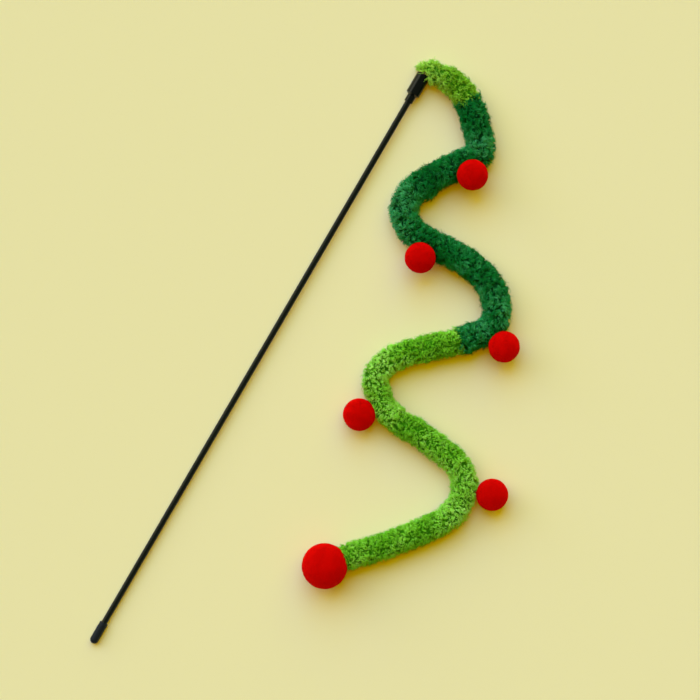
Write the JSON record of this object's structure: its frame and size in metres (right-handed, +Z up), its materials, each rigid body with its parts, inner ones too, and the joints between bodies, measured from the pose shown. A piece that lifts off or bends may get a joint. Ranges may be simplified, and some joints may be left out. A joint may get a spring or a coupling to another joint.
{
  "type": "cat teaser wand",
  "caption": "Thin rod with a rubber butt cap and a moulded tip socket, from which a fluffy tail on a limp cord hangs, with felt balls sewn along it and a larger ball at its end.",
  "frame": {"origin": "on the table that the toy lies on, below the middle of the wand, from its butt cap to its tip socket, the tail left out", "axes": "+Z up from the table, +Y along the wand towards its tip socket, +X to the side on which the tail lies"},
  "size_m": [0.195, 0.4541, 0.03],
  "materials": {
    "rod": "semi-gloss black drawn plastic",
    "cap": "dull black rubber",
    "socket": "glossy black moulded plastic",
    "cord": "undyed twisted cord",
    "plush_light": "short curly light green pile",
    "plush_dark": "short curly dark green pile",
    "felt": "smooth red wool felt",
    "green_thread": "green sewing thread",
    "red_thread": "red sewing thread"
  },
  "bodies": {
    "wand": {"rod": "rod", "butt_cap": "cap", "tip_socket": "socket", "cord_anchor": "cord"},
    "tail_top": {"cord_top": "cord", "plush_top": "plush_light", "seam_thread_upper": "green_thread"},
    "tail_middle": {"cord_middle": "cord", "plush_middle": "plush_dark", "ball_1": "felt", "ball_2": "felt", "ball_3": "felt", "ball_thread_1": "red_thread", "ball_thread_2": "red_thread", "ball_thread_3": "red_thread"},
    "tail_bottom": {"cord_bottom": "cord", "plush_bottom": "plush_light", "seam_thread_lower": "green_thread", "ball_4": "felt", "ball_5": "felt", "ball_thread_4": "red_thread", "ball_thread_5": "red_thread", "end_ball": "felt", "end_knot": "cord"}
  },
  "joints": [
    {"name": "tail_swing", "type": "hinge", "parent": "wand", "child": "tail_top", "pos_m": [0, 0.221, 0.00482], "axis": [0, 0, 1], "range_deg": [-5, 90]},
    {"name": "upper_bend", "type": "hinge", "parent": "tail_top", "child": "tail_middle", "pos_m": [0.034, 0.219, 0.00845], "axis": [0, 0, 1], "range_deg": [-5, 30]},
    {"name": "lower_bend", "type": "hinge", "parent": "tail_middle", "child": "tail_bottom", "pos_m": [0.11, 0.078, 0.00845], "axis": [0, 0, 1], "range_deg": [-10, 30]}
  ]
}
